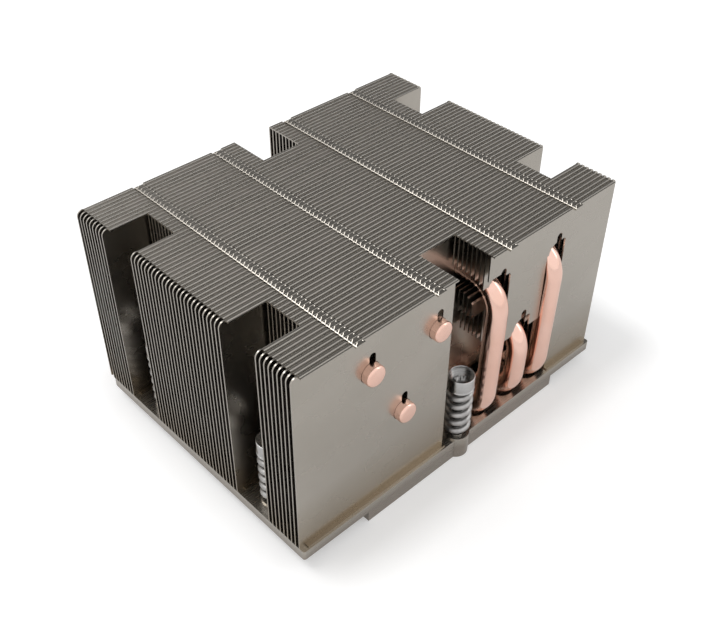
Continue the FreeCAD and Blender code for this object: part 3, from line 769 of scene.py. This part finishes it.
def captive_screw(where, sizes, material):
    """One screw: threaded tip, neck, shank, spring step, collar and cup with a six-lobe drive."""
    node = "screw_" + where
    low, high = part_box(node)
    clip_low, clip_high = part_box("clip_" + where)
    center = (low + high) / 2

    bm = bmesh.new()
    outline = screw_outline(sizes, low.z, high.z, clip_low.z, clip_high.z)
    verts = [bm.verts.new((reach, 0, height)) for reach, height in outline]
    edges = [bm.edges.new(pair) for pair in zip(verts, verts[1:])]
    bmesh.ops.spin(bm, geom=verts + edges, cent=(0, 0, 0), axis=(0, 0, 1), angle=2 * math.pi,
                   steps=sizes.around, use_merge=True)
    bmesh.ops.remove_doubles(bm, verts=bm.verts, dist=SAME_PLACE)
    cup_floor = high.z - sizes.cup_depth
    for vert in bm.verts:
        in_drive = any(at(vert, sizes.drive_radius, height)
                       for height in (cup_floor, cup_floor - sizes.drive_depth))
        if in_drive:
            angle = math.atan2(vert.co.y, vert.co.x)
            scale = drive_reach(angle, sizes) / sizes.drive_radius
            bmesh.ops.scale(bm, vec=(scale, scale, 1), verts=[vert])

    seat = high.z - sizes.head_height
    rims = (
        (sizes.collar_radius, seat),
        (sizes.collar_radius, seat + sizes.collar_height),
        (sizes.head_radius, high.z),
        (sizes.cup_radius, high.z),
    )
    corners = [edge for edge in bm.edges
               if any(all(at(vert, *rim) for vert in edge.verts) for rim in rims)]
    bmesh.ops.bevel(bm, geom=corners, affect="EDGES", offset=sizes.edge_round,
                    offset_type="OFFSET", segments=3, profile=0.5, material=-1)
    add_thread(bm, sizes, low.z + sizes.tip_chamfer / 2, clip_low.z - sizes.neck_play)
    bmesh.ops.translate(bm, verts=bm.verts, vec=(center.x, center.y, 0))
    piece(bm, node + "_turned", material, SCREW_BODY + where, "screw", node)


def coil_spring(where, sizes, material):
    """One spring between its boss and the screw's collar."""
    node = "spring_" + where
    low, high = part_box(node)
    center = (low + high) / 2
    steps = round(sizes.turns * sizes.turn_steps)
    rise = high.z - low.z - 2 * sizes.wire_radius

    bm = bmesh.new()
    upright = Matrix.Rotation(math.pi / 2, 4, "X")
    start = Matrix.Translation((sizes.mean_radius, 0, low.z + sizes.wire_radius))
    bmesh.ops.create_circle(bm, segments=sizes.wire_sides, radius=sizes.wire_radius,
                            cap_ends=False, matrix=start @ upright)
    section = list(bm.verts) + list(bm.edges)
    bmesh.ops.spin(bm, geom=section, cent=(0, 0, 0), axis=(0, 0, 1), dvec=(0, 0, rise / steps),
                   angle=sizes.turns * 2 * math.pi, steps=steps, use_merge=False)
    bmesh.ops.holes_fill(bm, edges=[edge for edge in bm.edges if edge.is_boundary], sides=0)
    bmesh.ops.translate(bm, verts=bm.verts, vec=(center.x, center.y, 0))
    made = piece(bm, node + "_coil", material, "root", "spring", node)
    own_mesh(made)


# Stage

def add_camera(stage):
    """The camera at the photograph's angle."""
    data = bpy.data.cameras.new("camera")
    data.lens = stage.lens
    data.sensor_width = SENSOR_WIDTH
    data.sensor_fit = "HORIZONTAL"
    data.clip_start = NEAREST_SEEN
    forward = Vector(stage.camera_direction).normalized()
    right = forward.cross(Vector(stage.camera_up)).normalized()
    up = right.cross(forward)
    turned = Matrix((right, up, -forward)).transposed().to_4x4()
    made = bpy.data.objects.new("camera", data)
    made.matrix_world = Matrix.Translation(stage.camera_place) @ turned
    bpy.context.scene.collection.objects.link(made)
    bpy.context.scene.camera = made


def add_lamp(name, place, target, size, power):
    """A soft rectangular lamp that faces a point."""
    data = bpy.data.lights.new(name, "AREA")
    data.shape = "RECTANGLE"
    data.size, data.size_y = size
    data.energy = power
    made = bpy.data.objects.new(name, data)
    aim = (Vector(target) - Vector(place)).to_track_quat("-Z", "Y")
    made.matrix_world = Matrix.Translation(place) @ aim.to_matrix().to_4x4()
    bpy.context.scene.collection.objects.link(made)


def shade_distance(tree, stage):
    """Distance of a point of the floor from the part around the heatsink where a shadow is
    painted.
    """
    axes = object_axes(tree)
    sides = []
    for axis, middle, half in zip("XY", stage.shade_middle, stage.shade_half):
        offset = calculate(tree, "SUBTRACT", axes[axis], middle)
        outside = calculate(tree, "SUBTRACT", calculate(tree, "ABSOLUTE", offset), half)
        sides.append(calculate(tree, "MAXIMUM", outside, 0.0))
    x, y = sides
    return calculate(tree, "SQRT", calculate(tree, "MULTIPLY_ADD", x, x,
                                             calculate(tree, "MULTIPLY", y, y)))


def floor_paint(stage):
    """Pale paint that adds white where the floor or its mirror image is seen, less of it close to
    the heatsink as a painted shadow.
    """
    material, tree, shader = new_material("floor_paint", stage.floor_color,
                                          stage.floor_roughness, metallic=0.0)
    path = tree.nodes.new("ShaderNodeLightPath")
    mirrored = calculate(tree, "MULTIPLY", path.outputs["Is Glossy Ray"], stage.floor_mirrored)
    # Painted shadow: less white close to the heatsink.
    white = between(tree, shade_distance(tree, stage), stage.shade_glow, stage.floor_glow,
                    *stage.shade_fade)
    glow = calculate(tree, "MULTIPLY_ADD", path.outputs["Is Camera Ray"], white, mirrored)
    shader.inputs["Emission Color"].default_value = (1, 1, 1, 1)
    tree.links.new(glow, shader.inputs["Emission Strength"])
    return material


def add_floor(stage):
    """A pale floor that looks white in the light and keeps the soft shadow, with a painted shadow
    close to the heatsink.
    """
    bm = bmesh.new()
    bmesh.ops.create_grid(bm, x_segments=1, y_segments=1, size=stage.floor_size / 2)
    mesh = bpy.data.meshes.new("floor")
    bm.to_mesh(mesh)
    bm.free()
    mesh.materials.append(floor_paint(stage))
    made = bpy.data.objects.new("floor", mesh)
    bpy.context.scene.collection.objects.link(made)


def add_world(stage):
    """Soft light from all round, mirrored with a dim side, and white where it is seen."""
    world = bpy.data.worlds.new("studio")
    bpy.context.scene.world = world
    world.use_nodes = True
    tree = world.node_tree
    lit = tree.nodes["Background"]
    lit.inputs["Color"].default_value = (1, 1, 1, 1)
    lit.inputs["Strength"].default_value = stage.sky
    mirrored = tree.nodes.new("ShaderNodeBackground")
    seen = tree.nodes.new("ShaderNodeBackground")
    seen.inputs["Color"].default_value = (1, 1, 1, 1)
    place = tree.nodes.new("ShaderNodeTexCoord")
    nearness = tree.nodes.new("ShaderNodeVectorMath")
    nearness.operation = "DOT_PRODUCT"
    nearness.inputs[1].default_value = Vector(stage.dim_direction).normalized()
    tree.links.new(place.outputs["Generated"], nearness.inputs[0])
    shades = tree.nodes.new("ShaderNodeValToRGB")
    edge, near, middle = stage.dim_edges
    stops = shades.color_ramp.elements
    stops[0].position = edge
    stops[0].color = (1, 1, 1, 1)
    stops[1].position = middle
    stops[1].color = (*[stage.dim_sky] * 3, 1)
    stops.new(near).color = (*[stage.half_dim * stage.dim_sky] * 3, 1)
    tree.links.new(nearness.outputs["Value"], shades.inputs["Fac"])
    tree.links.new(shades.outputs["Color"], mirrored.inputs["Color"])
    path = tree.nodes.new("ShaderNodeLightPath")
    glossy = tree.nodes.new("ShaderNodeMixShader")
    camera = tree.nodes.new("ShaderNodeMixShader")
    tree.links.new(path.outputs["Is Glossy Ray"], glossy.inputs["Fac"])
    tree.links.new(lit.outputs["Background"], glossy.inputs[1])
    tree.links.new(mirrored.outputs["Background"], glossy.inputs[2])
    tree.links.new(path.outputs["Is Camera Ray"], camera.inputs["Fac"])
    tree.links.new(glossy.outputs["Shader"], camera.inputs[1])
    tree.links.new(seen.outputs["Background"], camera.inputs[2])
    tree.links.new(camera.outputs["Shader"], tree.nodes["World Output"].inputs["Surface"])


# Operators

class HEATSINK_OT_fins(Operator):
    """Give the sheet fins their plated finish and a painted shade near the base"""

    bl_idname = "heatsink.fins"
    bl_label = "Finish the fins"

    def execute(self, context):
        material = rolled_sheet(context.scene.heatsink_fins)
        for node in FIN_NODES:
            paint(node, material)
        return {"FINISHED"}


class HEATSINK_OT_base(Operator):
    """Give the machined base its plated finish and a painted shade near the ground"""

    bl_idname = "heatsink.base"
    bl_label = "Finish the base"

    def execute(self, context):
        paint("base_plate", milled_base(context.scene.heatsink_base))
        return {"FINISHED"}


class HEATSINK_OT_pipes(Operator):
    """Bend the six heat pipes"""

    bl_idname = "heatsink.pipes"
    bl_label = "Build the heat pipes"

    def execute(self, context):
        sizes = context.scene.heatsink_pipes
        material = drawn_copper(sizes)
        for node in PIPE_NODES:
            heat_pipe(node, sizes, material)
        return {"FINISHED"}


class HEATSINK_OT_screws(Operator):
    """Turn the six captive screws and finish their clips"""

    bl_idname = "heatsink.screws"
    bl_label = "Build the screws"

    def execute(self, context):
        sizes = context.scene.heatsink_screws
        steel = turned_steel(sizes)
        clip_steel = stamped_clip(sizes)
        for where in SCREW_PLACES:
            captive_screw(where, sizes, steel)
            paint("clip_" + where, clip_steel)
        return {"FINISHED"}


class HEATSINK_OT_springs(Operator):
    """Wind the six springs"""

    bl_idname = "heatsink.springs"
    bl_label = "Build the springs"

    def execute(self, context):
        sizes = context.scene.heatsink_springs
        material = spring_wire(sizes)
        for where in SCREW_PLACES:
            coil_spring(where, sizes, material)
        return {"FINISHED"}


class HEATSINK_OT_stage(Operator):
    """Set the camera, the pale floor and the studio light"""

    bl_idname = "heatsink.stage"
    bl_label = "Set the stage"

    def execute(self, context):
        stage = context.scene.heatsink_stage
        context.scene.view_settings.view_transform = "Standard"
        add_camera(stage)
        add_floor(stage)
        add_world(stage)
        add_lamp("key_lamp", stage.key_place, stage.lamp_target, stage.key_size,
                 stage.key_power)
        add_lamp("fill_lamp", stage.fill_place, stage.lamp_target, stage.fill_size,
                 stage.fill_power)
        return {"FINISHED"}


class HEATSINK_PT_panel(Panel):
    """Steps, sizes and colours of the heatsink"""

    bl_label = "Heatsink"
    bl_idname = "HEATSINK_PT_panel"
    bl_space_type = "VIEW_3D"
    bl_region_type = "UI"
    bl_category = "Heatsink"

    def draw(self, context):
        for step, settings in STEPS:
            box = self.layout.box()
            box.operator(step)
            owner = getattr(context.scene, settings)
            for name in owner.bl_rna.properties.keys():
                if name not in ("rna_type", "name"):
                    box.prop(owner, name)


STEPS = (
    ("heatsink.fins", "heatsink_fins"),
    ("heatsink.base", "heatsink_base"),
    ("heatsink.pipes", "heatsink_pipes"),
    ("heatsink.screws", "heatsink_screws"),
    ("heatsink.springs", "heatsink_springs"),
    ("heatsink.stage", "heatsink_stage"),
)
SETTINGS = {
    "heatsink_fins": HeatsinkFinLooks,
    "heatsink_base": HeatsinkBaseLooks,
    "heatsink_pipes": HeatsinkPipeSizes,
    "heatsink_screws": HeatsinkScrewSizes,
    "heatsink_springs": HeatsinkSpringSizes,
    "heatsink_stage": HeatsinkStageSettings,
}
CLASSES = (
    *SETTINGS.values(),
    HEATSINK_OT_fins,
    HEATSINK_OT_base,
    HEATSINK_OT_pipes,
    HEATSINK_OT_screws,
    HEATSINK_OT_springs,
    HEATSINK_OT_stage,
    HEATSINK_PT_panel,
)


def register():
    for item in CLASSES:
        bpy.utils.register_class(item)
    for name, kind in SETTINGS.items():
        setattr(bpy.types.Scene, name, PointerProperty(type=kind))


def unregister():
    for name in SETTINGS:
        delattr(bpy.types.Scene, name)
    for item in reversed(CLASSES):
        bpy.utils.unregister_class(item)


def main():
    """Register the steps and run them in order."""
    register()
    bpy.ops.heatsink.fins()
    bpy.ops.heatsink.base()
    bpy.ops.heatsink.pipes()
    bpy.ops.heatsink.screws()
    bpy.ops.heatsink.springs()
    bpy.ops.heatsink.stage()


if __name__ == "__main__":
    main()
